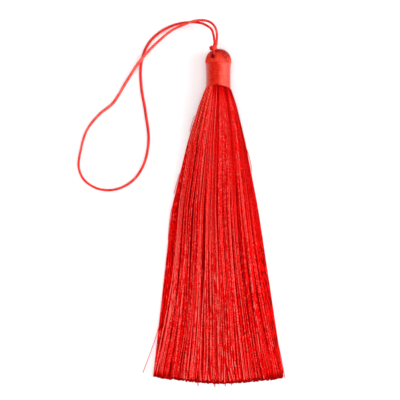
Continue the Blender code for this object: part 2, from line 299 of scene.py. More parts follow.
def silk(
    name,
    colours,
    plies,
    turns,
    fibres,
    relief,
    streaks,
    contrast,
    level,
    evenness,
    gloss,
    tint,
    roughness=0.4,
    painted_flank_shade=0.0,
    below=0.0,
):
    """Shiny dyed rayon. Its plies and fine fibres follow the piece's UV map.

    The colours go from the deepest painted shade to the palest, which stand for painted sheen. Streaks are
    either a number along each thread, or three rates of change in space. The plies' crests get a painted
    highlight and their grooves painted shade, less so the greater the evenness. The painted flank shade says
    how much painted shade darkens each thread's sides, where it lies beside the next, so that its top looks
    lighter.
    """
    material = bpy.data.materials.new(name)
    material.use_nodes = True
    tree = material.node_tree
    lay = add_node(tree, "ShaderNodeUVMap", {}, uv_map="lay").outputs["UV"]
    place = add_node(tree, "ShaderNodeSeparateXYZ", {"Vector": lay})
    way_round, way_along = place.outputs["X"], place.outputs["Y"]
    shade = add_node(tree, "ShaderNodeAttribute", {}, attribute_name="shade").outputs["Fac"]
    pace = calculate(tree, "MULTIPLY_ADD", shade, PALE_TWIST * turns, LEAST_TWIST * turns)
    ply_turns = calculate(tree, "MULTIPLY", way_along, pace)
    ply_place = calculate(tree, "MULTIPLY_ADD", way_round, plies, ply_turns)
    ply_place = calculate(tree, "MULTIPLY_ADD", shade, PLIES_OFFSET, ply_place)
    ply_wave = calculate(tree, "SINE", calculate(tree, "MULTIPLY", ply_place, math.tau))
    ply_height = calculate(tree, "MULTIPLY_ADD", ply_wave, 0.5, 0.5)
    fibre_slant = calculate(tree, "MULTIPLY", way_round, FIBRES_SLANT)
    fibre_place = calculate(tree, "MULTIPLY_ADD", way_along, fibres, fibre_slant)
    fibre_wave = calculate(tree, "SINE", calculate(tree, "MULTIPLY", fibre_place, math.tau))
    height = calculate(tree, "MULTIPLY_ADD", fibre_wave, FIBRES_HEIGHT, ply_height)
    if isinstance(streaks, float):
        turned = calculate(tree, "MULTIPLY_ADD", way_along, STREAKS_TURNS, way_round)
        turned = calculate(tree, "MULTIPLY", turned, math.tau)
        east = calculate(tree, "MULTIPLY", calculate(tree, "COSINE", turned), STREAKS_ROUND)
        north = calculate(tree, "MULTIPLY", calculate(tree, "SINE", turned), STREAKS_ROUND)
        along = calculate(tree, "MULTIPLY", shade, STREAKS_OFFSET)
        along = calculate(tree, "MULTIPLY_ADD", way_along, streaks, along)
        spot = add_node(tree, "ShaderNodeCombineXYZ", {"X": east, "Y": north, "Z": along})
    else:
        spot = add_node(tree, "ShaderNodeTexCoord", {}).outputs["Object"]
        spot = add_node(tree, "ShaderNodeVectorMath", {0: spot, 1: streaks}, operation="MULTIPLY")
    spot = spot.outputs["Vector"]
    patches = add_node(tree, "ShaderNodeTexNoise", {"Vector": spot, "Scale": 1.0, "Detail": 1.0})
    glow = calculate(tree, "MULTIPLY_ADD", patches.outputs["Fac"], contrast, level - 0.5 * contrast)
    glow = calculate(tree, "MULTIPLY_ADD", shade, SHADE_WEIGHT, glow)
    painted_crest = calculate(tree, "POWER", ply_height, PAINTED_CREST_SHARPNESS)
    painted_crest = calculate(tree, "MULTIPLY_ADD", painted_crest, 1 - evenness, evenness)
    lightness = calculate(tree, "MULTIPLY", glow, painted_crest)
    painted_top_light = calculate(tree, "SINE", calculate(tree, "MULTIPLY", way_round, math.tau))
    painted_top_light = calculate(tree, "MULTIPLY_ADD", painted_top_light, 0.5, 0.5)
    painted_top_light = calculate(tree, "POWER", painted_top_light, PAINTED_FLANK_SHARPNESS)
    painted_top_light = calculate(tree, "MULTIPLY_ADD", painted_top_light, painted_flank_shade, 1 - painted_flank_shade)
    lightness = calculate(tree, "MULTIPLY", lightness, painted_top_light)
    lightness = calculate(tree, "MULTIPLY_ADD", lightness, 1 - below, below)
    ramp = add_node(tree, "ShaderNodeValToRGB", {"Fac": lightness})
    stops = ramp.color_ramp.elements
    for number in range(1, len(colours) - 1):
        stops.new(number / (len(colours) - 1))
    for stop, colour in zip(stops, colours):
        stop.color = (*colour, 1.0)
    bump = {"Height": height, "Strength": relief, "Distance": RELIEF_DEPTH}
    bump = add_node(tree, "ShaderNodeBump", bump)
    shader = tree.nodes["Principled BSDF"]
    tree.links.new(ramp.outputs["Color"], shader.inputs["Base Color"])
    tree.links.new(bump.outputs["Normal"], shader.inputs["Normal"])
    shader.inputs["Roughness"].default_value = roughness
    shader.inputs["IOR"].default_value = gloss
    shader.inputs["Specular Tint"].default_value = (*tint, 1.0)
    return material


cord_silk = silk(
    "cord_silk",
    colours=((0.62, 0.003, 0.002), (0.84, 0.02, 0.012), (0.97, 0.12, 0.09)),
    plies=CORD_PLIES,
    turns=0.0,
    fibres=420.0,
    relief=0.35,
    streaks=(900.0, 300.0, 900.0),
    contrast=2.0,
    level=0.3,
    evenness=0.6,
    gloss=1.45,
    tint=(1.0, 0.5, 0.45),
)


def laid_cord(name, path, rings, widths, shades):
    """A length of the twisted cord along a path, with its widths and shades at even steps along it."""
    length = np.linalg.norm(np.diff(path, axis=0), axis=1).sum()
    mesh = straight_rod(name, CORD_SIDES, rings, CORD_PLIES, CORD_GROOVE, length / CORD_LAY)
    line = spread_evenly(path, rings)
    along = np.linspace(0, 1, rings)[None]
    radii = CORD_DIAMETER / 2 * np.interp(along, np.linspace(0, 1, len(widths)), widths)
    shades = np.interp(along, np.linspace(0, 1, len(shades)), shades)
    lay_rods(mesh, line[None], radii, steady_sides(line)[None], shades)
    return mesh, line


cord_mesh, cord_line = laid_cord("hanging_cord", smooth_path(ROUTE), CORD_RINGS, CORD_WIDTHS, CORD_SHADES)
hanging_cord = add_piece("hanging_cord", cord_mesh, cord_silk, "cord", "loop_cord")


# Knot.
# The cord's first leg winds once and a half round its second and is drawn tight, which closes the loop.
# The second leg runs on down into the fold of the head, where the bundle hangs on it.
HITCH = (
    Stop(-0.75, 67.05, 7.85),
    Stop(-0.78, 66.7, 7.86),
    Stop(-0.8, 66.35, 7.88),
    Stop(-1.02, 65.6, 8.0),
    Stop(-1.5, 65.1, 8.14),
    Stop(-2.1, 64.85, 8.02),
    Stop(-2.58, 64.8, 7.6),
    Stop(-2.73, 64.8, 7.0),
    Stop(-2.46, 64.8, 6.48),
    Stop(-1.9, 64.85, 6.26),
    Stop(-1.34, 64.85, 6.44),
    Stop(-0.99, 64.75, 6.92),
    Stop(-0.97, 64.5, 7.5),
    Stop(-1.28, 64.3, 8.02),
    Stop(-1.84, 64.15, 8.32),
    Stop(-2.46, 64.1, 8.2),
)
LEG = (
    Stop(-1.45, 67.05, 6.25),
    Stop(-1.5, 66.75, 6.27),
    Stop(-1.56, 66.35, 6.35),
    Stop(-1.75, 65.6, 6.95),
    Stop(-1.9, 64.4, 7.6),
    Stop(-1.9, 63.3, 7.75),
    Stop(-1.8, 62.4, 7.5),
    Stop(-1.75, 61.7, 6.8),
    Stop(-1.75, 61.3, 6.0),
)
KNOT_RINGS = 110
HITCH_WIDTHS = (0.9, 0.95, 1.1, 1.5, 1.55, 1.15, 1.0, 0.95, 0.9, 0.85)
LEG_WIDTHS = (0.85, 0.9, 0.8, 0.75)
# The hitch is darker on its left lobe, and the leg has painted shade where it goes down into the head.
HITCH_SHADES = (0.35, 0.35, 0.25, -0.4, -0.5, 0.0, 0.1, 0.1)
LEG_SHADES = (0.1, -0.4, -0.4)


def joined(name, meshes):
    """Several meshes as one."""
    bm = bmesh.new()
    for mesh in meshes:
        bm.from_mesh(mesh)
        bpy.data.meshes.remove(mesh)
    whole = bpy.data.meshes.new(name)
    bm.to_mesh(whole)
    bm.free()
    return whole


hitch_turns, _ = laid_cord("hitch", smooth_path(HITCH), KNOT_RINGS, HITCH_WIDTHS, HITCH_SHADES)
second_leg, _ = laid_cord("leg", smooth_path(LEG), KNOT_RINGS, LEG_WIDTHS, LEG_SHADES)
knot_mesh = joined("hitch_knot", [hitch_turns, second_leg])
hitch_knot = add_piece("hitch_knot", knot_mesh, cord_silk, "cord", "loop_knot")


# Folded head.
# The middle of the thread bundle, folded over the cord. Each thread comes up out of the winding, goes over
# the round end and dives back in on the lower side. The cord's leg parts the threads, and a crease runs
# across the fold where its upper layers end.
AXIS_HEIGHT = 4.44
HEAD_START_Y = 59.7
HEAD_TIP_Y = 64.85
HEAD_HALF_WIDTH = 4.9
HEAD_HALF_HEIGHT = 4.4
HEAD_ROUNDNESS = 2.2
HEAD_LOWEST = 0.2
HEAD_THREADS = 84
HEAD_THREAD_RADIUS = 0.16
HEAD_SHADES = (0.55, 0.95)
HEAD_PAINTED_SHADE = 1.2
HEAD_WIDEST = 0.999
HEAD_CROWDING = 0.9
HEAD_WANDER = 0.008
HEAD_WAVES = (1, 2, 3)
HEAD_RINGS = 60
HEAD_CORNERS = 6
UNDER_THREAD_RADIUS = 0.2
UNDER_LAYER_INSET = 0.05
# The ends of the fold's threads narrow as they go in under the winding.
TUCK = 0.11
TUCK_START_Y = 59.9
TUCK_Y = 58.9
TUCK_REACH = 0.14
TUCK_CURVE = 1.5
# The crease is a shallow waved valley across the dome. Beyond it the fold has painted shade.
CREASE_HEIGHT = 0.68
CREASE_WIDTH = 0.15
CREASE_DEPTH = 0.22
CREASE_WAVE = 0.08
CREASE_WAVE_PACE = 3
CREASE_RAGGED = 0.04
CREASE_SIDES = (-0.42, 0.93)
CREASE_SIDE_FADES = (0.2, 0.25)
BEYOND_CREASE = 0.18
BEYOND_FADE = 0.3
BEYOND_RIGHT = 0.05
BEYOND_SIDE_FADES = (0.15, 0.2)
BEYOND_REACH = 0.22
BEYOND_REACH_FADE = 0.25
# The cord's leg goes in at a hollow that pushes the threads to both sides, with painted shade round it.
HOLE = (-2.2, 61.9)
HOLE_REACH = (0.75, 1.1)
HOLE_PARTING = 0.5
HOLE_PARTING_WIDER = 1.2
HOLE_DEPTH = 0.25
HOLE_PAINTED_SHADE = 1.6
# The left of the head has painted shade where it goes in under the winding.
WINDING_SHADE = 0.3
WINDING_SHADE_REACH = 0.55
WINDING_SHADE_RIGHT = 0.5
WINDING_SHADE_LEFT = -0.75
WINDING_SHADE_LEFT_FADE = 0.3
# A slow wave's pace and size differ from thread to thread.
WAVE_PACES = (0.7, 1.3)
WAVE_SIZES = (0.3, 1.0)
EASTWARD = np.array([1.0, 0.0, 0.0])

rng = np.random.default_rng(5)


def slow_noise(rng, count, rings, waves):
    """For each thread, a smooth random wave along it, about -1 to 1."""
    along = np.linspace(0, 1, rings)
    total = np.zeros((count, rings))
    for wave in waves:
        phase = rng.uniform(0, math.tau, (count, 1))
        pace = wave * rng.uniform(*WAVE_PACES, (count, 1))
        total += rng.uniform(*WAVE_SIZES, (count, 1)) * np.sin(math.tau * pace * along + phase)
    return total / len(waves) ** 0.5


def share_past(value, start, width):
    """How far a value is past a start: 0 up to it, 1 from one width past it on, and even between them."""
    return np.clip((value - start) / width, 0, 1)


def painted_head_shade(spread, height, reach, crease_height, near_hole):
    """How much painted shade each place of the fold has, from 0 to 1."""
    left, right = CREASE_SIDES
    left_fade, right_fade = BEYOND_SIDE_FADES
    beyond = share_past(crease_height + BEYOND_CREASE, height, BEYOND_FADE)
    beyond = beyond * share_past(spread, left, left_fade)
    beyond = beyond * share_past(right + BEYOND_RIGHT, spread, right_fade)
    beyond = beyond * share_past(reach, BEYOND_REACH, BEYOND_REACH_FADE)
    near_winding = share_past(WINDING_SHADE_REACH, reach, WINDING_SHADE_REACH)
    near_winding = near_winding * share_past(WINDING_SHADE_RIGHT, spread, WINDING_SHADE_RIGHT)
    near_winding = near_winding * share_past(spread, WINDING_SHADE_LEFT, WINDING_SHADE_LEFT_FADE)
    painted_shade = np.maximum(beyond, np.clip(HOLE_PAINTED_SHADE * near_hole, 0, 1))
    return np.maximum(painted_shade, WINDING_SHADE * near_winding)


def head_paths(rng, inset):
    """The threads of the fold, side by side over the dome, in metres, and how much painted shade each place
    has.
    """
    spread = np.linspace(-HEAD_WIDEST, HEAD_WIDEST, HEAD_THREADS)
    spread = np.sign(spread) * np.abs(spread) ** HEAD_CROWDING
    spread = spread[:, None] + HEAD_WANDER * slow_noise(rng, HEAD_THREADS, HEAD_RINGS, HEAD_WAVES)
    spread = np.clip(spread, -HEAD_WIDEST, HEAD_WIDEST)
    turn = np.linspace(0, math.pi, HEAD_RINGS)[None]
    height = np.sqrt(1 - spread**2) * np.cos(turn)
    share = np.clip(np.hypot(spread, height), 0, 1)
    reach = (1 - share**HEAD_ROUNDNESS) ** (1 / HEAD_ROUNDNESS)
    left, right = CREASE_SIDES
    left_fade, right_fade = CREASE_SIDE_FADES
    ragged = CREASE_RAGGED * rng.normal(0, 1, (HEAD_THREADS, 1))
    crease_height = CREASE_HEIGHT + CREASE_WAVE * np.sin(CREASE_WAVE_PACE * spread) + ragged
    in_crease = share_past(spread, left, left_fade) * share_past(right, spread, right_fade)
    crease = in_crease * np.exp(-(((height - crease_height) / CREASE_WIDTH) ** 2))
    grown = 1 - CREASE_DEPTH * crease - inset
    x = HEAD_HALF_WIDTH * spread * grown
    y = HEAD_START_Y + (HEAD_TIP_Y - HEAD_START_Y) * reach * grown
    z = HEAD_HALF_HEIGHT * height * grown
    hole_x = (x - HOLE[0]) / HOLE_REACH[0]
    hole_y = (y - HOLE[1]) / HOLE_REACH[1]
    near_hole = np.exp(-(hole_x**2) - hole_y**2) * (z > 0)
    parting = np.exp(-((hole_x / HOLE_PARTING_WIDER) ** 2) - hole_y**2) * (z > 0)
    painted_shade = painted_head_shade(spread, height, reach, crease_height, near_hole)
    x = x + np.where(hole_x > 0, 1, -1) * HOLE_PARTING * parting
    z = z * (1 - HOLE_DEPTH * near_hole)
    y = y - (HEAD_START_Y - TUCK_Y) * share_past(TUCK_REACH, reach, TUCK_REACH)
    tuck = TUCK * share_past(TUCK_START_Y, y, TUCK_START_Y - TUCK_Y) ** TUCK_CURVE
    x = x * (1 - tuck)
    z = z * (1 - tuck)
    z = np.maximum(z + AXIS_HEIGHT, HEAD_LOWEST)
    return np.stack([x, y, z], axis=-1) * MM, painted_shade


def head_layer(name, inset, radius):
    """One layer of the fold's threads, as one mesh."""
    paths, painted_shade = head_paths(rng, inset)
    mesh = array_of(straight_rod(name, HEAD_CORNERS, HEAD_RINGS), HEAD_THREADS)
    shades = rng.uniform(*HEAD_SHADES, (HEAD_THREADS, 1)) - HEAD_PAINTED_SHADE * painted_shade
    lay_rods(mesh, paths, radius * MM, EASTWARD, shades)
    return mesh


# Its darkest colour serves the painted shade past the crease and round the hole; its palest is painted
# sheen.
head_silk = silk(
    "head_silk",
    colours=((0.42, 0.0005, 0.0003), (0.74, 0.008, 0.002), (0.82, 0.045, 0.016)),
    plies=2,
    turns=10.0,
    fibres=30.0,
    relief=0.2,
    streaks=(1400.0, 200.0, 300.0),
    contrast=2.5,
    level=0.15,
    evenness=0.6,
    gloss=1.47,
    tint=(1.0, 0.66, 0.5),
)
upper_layer = head_layer("upper", 0.0, HEAD_THREAD_RADIUS)
under_layer = head_layer("under", UNDER_LAYER_INSET, UNDER_THREAD_RADIUS)
head_mesh = joined("folded_head", [upper_layer, under_layer])
add_piece("folded_head", head_mesh, head_silk, "thread", "thread_bundle")


# Skirt.
# More than three hundred rayon threads, each twisted of two plies, cut level at their ends. They come out
# from under the winding, fan out in loose clumps and sink to the surface, and the lower ones lie flat on it.
# Level is 0 where the bundle is still round, and 1 where it lies level on the surface.
Section = namedtuple("Section", "y left right low high level")
SECTIONS = (
    Section(51.6, -4.4, 4.4, 0.2, 8.75, 0.0),
    Section(50.0, -4.85, 4.75, 0.1, 8.8, 0.1),
    Section(47.3, -6.1, 5.8, 0.05, 8.6, 0.4),
    Section(43.3, -7.6, 7.2, 0.05, 8.35, 0.55),
    Section(30.0, -11.8, 10.6, 0.0, 7.4, 1.0),
    Section(4.0, -18.0, 15.5, 0.0, 6.0, 1.0),
    Section(-64.9, -25.7, 25.9, 0.0, 4.4, 1.0),
)
SIDE_HEIGHT_SHARE = 0.3
EDGE_SHARE = 1.015
EDGE_INSET = 0.16
EDGE_WIDEST = 0.985
SEATED_SHARE = 0.3
ROOT_Y = 51.6
END_Y = -64.6
# The threads stand side by side in columns, and in layers from the surface to the top.
COLUMNS = 88
COLUMN_WIDTHS = (0.7, 1.3)
CLUMP_COLUMNS = (2, 4)
MOST_LAYERS = 5
FEWEST_LAYERS = 3
LAYER_STAGGER = 0.25
FLOOR_LAYERS = 2
THREAD_RADII = ((-64.9, 0.26), (4.0, 0.175), (30.0, 0.135), (51.6, 0.12))
FLOOR_THREADS_THICKER = 0.16
THICKER_FROM_Y = 40
THREAD_RINGS = 30
THREAD_CORNERS = 6
RINGS_AT_ENDS = 0.75
SKIRT_GROUPS = 4
# The cut is level, a little curved, and the upper layers end a little short of the lower.
TOP_LAYERS_SHORTER = 2.9
TOP_LAYERS_END_SHARE = 0.8
FLOOR_LAYER_SHORTER = 0.6
SIDES_SHORTER = (3.1, 2.4)
SIDES_CURVE = 1.6
END_RAGGED = 0.7
# Each clump wanders as one, and each thread a little within it, more the further it is from the winding.
Size = namedtuple("Size", "y half_width height")
ROUGH_SIZES = (
    Size(END_Y, 25, 4.4),
    Size(4, 17, 6),
    Size(30, 11, 7.4),
    Size(ROOT_Y, 4.4, 8.8),
)
FREE_LENGTH = 60
GATHERED = 0.22
GATHERED_FROM_UP = 0.35
CLUMP_DRIFT = 0.5
CLUMP_DRIFT_WAVES = (0.5, 1.1, 1.9)
CLUMP_RISE = 0.3
CLUMP_RISE_WAVES = (0.8, 1.7)
THREAD_DRIFT = 0.25
THREAD_DRIFT_WAVES = (0.8, 1.7, 2.6)
THREAD_RISE = 0.35
THREAD_RISE_WAVES = (0.6, 1.6)
FLOOR_THREADS_DRIFT = 0.4
LOWER_BY = 0.2
UP_RANGE = (0.02, 1.02)
# Shades run from about 0 in the dark to 1 on the palest threads, and below 0 where painted shade is deepest.
DARKEST_SHADE = 0.24
THREAD_SHADES = 0.95
CLUMP_SHADES = 0.1
# Painted light on the top layer and on the left of the skirt.
TOP_LAYER_PAINTED_LIGHT = 0.15
LEFT_PAINTED_LIGHT = 0.1
# Painted shade on the lower columns and on threads sunk among the others.
LOWER_SHADE = 0.42
SUNK_DEPTH = 1.0
SUNK_LEAST = 0.1
SUNK_SHADE = 0.55
# Painted shade that deepens towards the neck, where the clumps also differ more in tone.
NECK_SHADE_FROM_Y = -10.0
NECK_SHADE = 0.42
NECK_CLUMP_SHADES = 1.9
# Painted shade on the neck, all but its left side, just under the winding.
ROOT_SHADE_LENGTH = 7.0
ROOT_SHADE_FROM_X = -3.0
ROOT_PAINTED_SHADE = 1.4
# Painted shade at the ends of the lower layers, past the upper layers' ends.
END_SHADE_START = 0.5
END_SHADE_LENGTH = 1.6
END_SHADE_LAYERS = 3
END_SHADE = 1.3

thread_stations = np.linspace(0, 1, THREAD_RINGS)
thread_stations = thread_stations - RINGS_AT_ENDS * np.sin(math.tau * thread_stations) / math.tau


def skirt_place(y, across, up, radius):
    """Places in the skirt, in metres: so far across its width, and so far up from the surface to its top."""
    table = np.array(SECTIONS)[::-1]
    left, right, low, high, level = (np.interp(y, table[:, 0], table[:, n]) for n in range(1, 6))
    half = (right - left) / 2
    across = np.clip(across * (EDGE_SHARE - EDGE_INSET / half), -EDGE_WIDEST, EDGE_WIDEST)
    chord = np.sqrt(1 - across**2)
    lowest = (1 - level) * (1 - chord) / 2
    side_height = SIDE_HEIGHT_SHARE + (1 - SIDE_HEIGHT_SHARE) * chord
    highest = (1 - level) * (1 + chord) / 2 + level * side_height
    x = (left + right) / 2 + half * across
    z = low + (high - low) * (lowest + (highest - lowest) * up)
    z = np.clip(z - SEATED_SHARE * radius, radius, None)
    return np.stack([x, y, z], axis=-1) * MM


def thread_places(rng):
    """For each thread: its place across and up, its clump, its layer, its column's layers, and if it is low.

    Every second column lies a little lower than its neighbours.
    """
    widths = rng.uniform(*COLUMN_WIDTHS, COLUMNS)
    edges = np.concatenate([[0], np.cumsum(widths)]) / widths.sum() * 2 - 1
    clump_ends = np.cumsum(rng.integers(*CLUMP_COLUMNS, COLUMNS, endpoint=True))
    rows = []
    for column, (left, right) in enumerate(zip(edges, edges[1:])):
        middle = (left + right) / 2
        layers = max(FEWEST_LAYERS, round(MOST_LAYERS * math.sqrt(1 - middle * middle)))
        clump = int(np.searchsorted(clump_ends, column, side="right"))
        for layer in range(layers):
            place = middle + (right - left) * LAYER_STAGGER * (1 if layer % 2 else -1)
            up = (layer + 0.5) / layers
            rows.append((place, up, clump * MOST_LAYERS + layer, layer, layers, column % 2))
    return np.array(rows)


def skirt_threads(rng, rows):
    """The route of each thread of the skirt and its radius along it, in metres, and its shade."""
    count = len(rows)
    across, up, _, layer, layers, lower = (column[:, None] for column in rows.T)
    clump = rows[:, 2].astype(int)
    clumps = clump.max() + 1
    # Where each thread ends.
    shorter = TOP_LAYERS_SHORTER * (layer - 1) / layers + np.where(layer == 0, FLOOR_LAYER_SHORTER, 0)
    shorter = shorter + END_RAGGED * rng.uniform(0, 1, (count, 1)) ** 2
    side_shorter = np.where(across < 0, *SIDES_SHORTER) * np.abs(across) ** SIDES_CURVE
    top_end = END_Y + TOP_LAYERS_SHORTER * TOP_LAYERS_END_SHARE + side_shorter
    y = ROOT_Y + (END_Y + (shorter + side_shorter) - ROOT_Y) * thread_stations
    # How it lies.
    sizes = np.array(ROUGH_SIZES)
    half = np.interp(y, sizes[:, 0], sizes[:, 1])
    tall = np.interp(y, sizes[:, 0], sizes[:, 2])
    free = share_past(ROOT_Y, y, FREE_LENGTH)
    clump_drift = slow_noise(rng, clumps, THREAD_RINGS, CLUMP_DRIFT_WAVES)[clump]
    clump_rise = slow_noise(rng, clumps, THREAD_RINGS, CLUMP_RISE_WAVES)[clump]
    thread_drift = slow_noise(rng, count, THREAD_RINGS, THREAD_DRIFT_WAVES)
    thread_rise = slow_noise(rng, count, THREAD_RINGS, THREAD_RISE_WAVES)
    gathered = GATHERED * np.clip(up - GATHERED_FROM_UP, 0, 1) / (1 - GATHERED_FROM_UP)
    gathered = gathered * np.sin(math.pi * share_past(ROOT_Y, y, ROOT_Y - END_Y))
    on_floor = layer < FLOOR_LAYERS
    sideways = free * (CLUMP_DRIFT * clump_drift * ~on_floor + THREAD_DRIFT * thread_drift)
    sideways = sideways * np.where(on_floor, FLOOR_THREADS_DRIFT, 1)
    lift = free * (CLUMP_RISE * clump_rise + THREAD_RISE * thread_rise)
    radius = np.interp(y, *np.array(THREAD_RADII).T)
    radius = radius + FLOOR_THREADS_THICKER * on_floor * share_past(THICKER_FROM_Y, y, THICKER_FROM_Y)
    up = np.clip(up + (lift - LOWER_BY * lower) / tall, *UP_RANGE)
    paths = skirt_place(y, across * (1 - gathered) + sideways / half, up, radius)
    # How it looks: its own random tone, with painted light and painted shade.
    # Painted shade for threads that lie lower than the top of their column.
    sunk = ((layers - 0.5) / layers - up) * tall / SUNK_DEPTH
    sunk = np.clip(sunk + SUNK_LEAST, 0, 1)
    # Painted shade at the roots under the winding.
    near_root = np.clip(1 - (ROOT_Y - y) / ROOT_SHADE_LENGTH, 0, 1)
    near_root = near_root * np.clip(paths[..., 0] / MM - ROOT_SHADE_FROM_X, 0, 1)
    near_end = share_past(top_end + END_SHADE_START, y, END_SHADE_LENGTH) * (layer < END_SHADE_LAYERS)
    near_neck = share_past(y, NECK_SHADE_FROM_Y, ROOT_Y - NECK_SHADE_FROM_Y)
    shades = DARKEST_SHADE + THREAD_SHADES * rng.uniform(0, 1, (count, 1))
    shades = shades + TOP_LAYER_PAINTED_LIGHT * (layer == layers - 1)
    clump_shades = rng.uniform(0, 1, (clumps, 1))[clump]
    shades = shades + CLUMP_SHADES * clump_shades + NECK_CLUMP_SHADES * near_neck * (clump_shades - 0.5)
    shades = shades - LEFT_PAINTED_LIGHT * across - NECK_SHADE * near_neck - LOWER_SHADE * lower
    shades = shades - SUNK_SHADE * sunk - ROOT_PAINTED_SHADE * near_root - END_SHADE * near_end
    return paths, radius * MM, shades


# The first colour is reached only by the deepest painted shade; the palest, pinker ones are painted sheen.
thread_silk = silk(
    "thread_silk",
    colours=(
        (0.33, 0.0006, 0.0004),
        (0.92, 0.0002, 0.0002),
        (0.91, 0.0005, 0.0005),
        (0.9, 0.004, 0.0035),
        (0.88, 0.032, 0.027),
        (0.92, 0.15, 0.125),
    ),
    plies=2,
    turns=80.0,
    fibres=420.0,
    relief=0.3,
    streaks=34.0,
    contrast=5.0,
    level=0.08,
    evenness=0.6,
    gloss=1.2,
    tint=(1.0, 0.12, 0.1),
    painted_flank_shade=0.8,
    below=0.2,
)
rows = thread_places(rng)
paths, radii, shades = skirt_threads(rng, rows)
upward_order = np.argsort(rows[:, 1], kind="stable")
for number, members in enumerate(np.array_split(upward_order, SKIRT_GROUPS), 1):
    name = f"skirt_threads_{number}"
    thread = straight_rod(name, THREAD_CORNERS, THREAD_RINGS, stations=thread_stations)
    mesh = array_of(thread, len(members))
    lay_rods(mesh, paths[members], radii[members], EASTWARD, shades[members])
    add_piece(name, mesh, thread_silk, "thread", "thread_bundle")


# Twisted locks.
# Three thicker locks of the same rayon, each twisted of two strands, that lie on the skirt at the left of
# the neck. They come out from under the winding with the threads and sink in among them lower down.
Lock = namedtuple("Lock", "across up")
LOCKS = (Lock(-0.92, 0.76), Lock(-0.78, 0.93), Lock(-0.6, 0.99))
LOCK_RADIUS = 0.46
LOCK_END_RADIUS = 0.25
LOCK_END_Y = 28.0
LOCK_ROOT_LOWER = 0.06
LOCK_RISE = 0.12
LOCK_RISE_LENGTH = 0.15
LOCK_SINK = 0.25
LOCK_SINK_START = 0.55
LOCK_SINK_LENGTH = 0.45
LOCK_RINGS = 60
LOCK_CORNERS = 12
LOCK_TURNS = 14.0
LOCK_SHADES = (0, 0.4)

lock_silk = silk(
    "lock_silk",
    colours=((0.66, 0.002, 0.001), (0.88, 0.035, 0.02), (0.98, 0.14, 0.09)),
    plies=2,
    turns=2 * LOCK_TURNS,
    fibres=140.0,
    relief=0.3,
    streaks=12.0,
    contrast=2.0,
    level=0.8,
    evenness=0.15,
    gloss=1.3,
    tint=(1.0, 0.3, 0.25),
)
lock_across, lock_up = (column[:, None] for column in np.array(LOCKS).T)
lock_along = np.tile(np.linspace(0, 1, LOCK_RINGS), (len(LOCKS), 1))
lock_y = ROOT_Y + (LOCK_END_Y - ROOT_Y) * lock_along
lock_radii = LOCK_RADIUS + (LOCK_END_RADIUS - LOCK_RADIUS) * lock_along
lock_sink = LOCK_SINK * share_past(lock_along, LOCK_SINK_START, LOCK_SINK_LENGTH) ** 2
lock_rise = LOCK_RISE * share_past(lock_along, 0, LOCK_RISE_LENGTH) - lock_sink
lock_paths = skirt_place(lock_y, lock_across, lock_up - LOCK_ROOT_LOWER + lock_rise, lock_radii)
lock_mesh = array_of(straight_rod("twisted_locks", LOCK_CORNERS, LOCK_RINGS), len(LOCKS))
lay_rods(lock_mesh, lock_paths, lock_radii * MM, EASTWARD, rng.uniform(*LOCK_SHADES, (len(LOCKS), 1)))
add_piece("twisted_locks", lock_mesh, lock_silk, "thread", "thread_bundle")


# Stray fibres.
# Single fibres that have come loose from the threads. Eight stand off the skirt's edges, and four, which are
# a little thicker, reach past its cut ends.
STRAY_FIBRES = (
    (Stop(-9.2, 39.5, 3.0), Stop(-9.95, 37.2, 2.6), Stop(-10.6, 35.0, 2.2), Stop(-10.95, 33.4, 1.8)),
    (Stop(-15.0, 17.2, 1.4), Stop(-15.7, 14.8, 1.3), Stop(-16.5, 12.0, 1.1), Stop(-17.15, 9.4, 0.9)),
    (Stop(-17.6, 5.0, 1.0), Stop(-18.3, 2.4, 0.9), Stop(-18.95, -2.5, 0.7), Stop(-19.45, -8.5, 0.5)),
    (Stop(-20.8, -24.0, 0.8), Stop(-21.4, -29.0, 0.7), Stop(-22.1, -34.5, 0.5), Stop(-22.6, -40.0, 0.4)),
    (Stop(-22.0, -38.0, 0.8), Stop(-23.8, -45.0, 1.4), Stop(-26.4, -52.6, 1.0), Stop(-29.3, -60.4, 0.3)),
    (Stop(10.9, 27.0, 2.4), Stop(11.8, 24.3, 2.1), Stop(12.6, 21.2, 1.8), Stop(13.1, 18.0, 1.4)),
    (Stop(21.4, -40.0, 1.0), Stop(22.8, -47.0, 0.9), Stop(24.1, -54.0, 0.7), Stop(25.4, -60.5, 0.4)),
    (Stop(21.9, -43.0, 0.9), Stop(23.6, -50.0, 0.8), Stop(24.8, -56.0, 0.6), Stop(26.1, -62.6, 0.3)),
    (Stop(-7.6, -60.0, 1.0), Stop(-7.7, -62.0, 0.8), Stop(-7.85, -64.0, 0.5), Stop(-7.8, -65.5, 0.3)),
    (Stop(-1.3, -60.0, 1.0), Stop(-1.25, -62.0, 0.8), Stop(-1.2, -64.2, 0.5), Stop(-1.3, -65.9, 0.3)),
    (Stop(2.4, -60.0, 1.0), Stop(2.5, -62.0, 0.8), Stop(2.7, -64.2, 0.5), Stop(2.9, -65.6, 0.3)),
    (Stop(4.9, -60.0, 1.0), Stop(5.0, -62.0, 0.8), Stop(5.1, -64.0, 0.5), Stop(5.3, -65.2, 0.3)),
)
STRAY_RADIUS = 0.13
STRAY_END_RADIUS = 0.19
STRAY_RINGS = 24
STRAY_CORNERS = 5
STRAY_SHADES = (0, 0.6)
UPWARD = np.array([0.0, 0.0, 1.0])

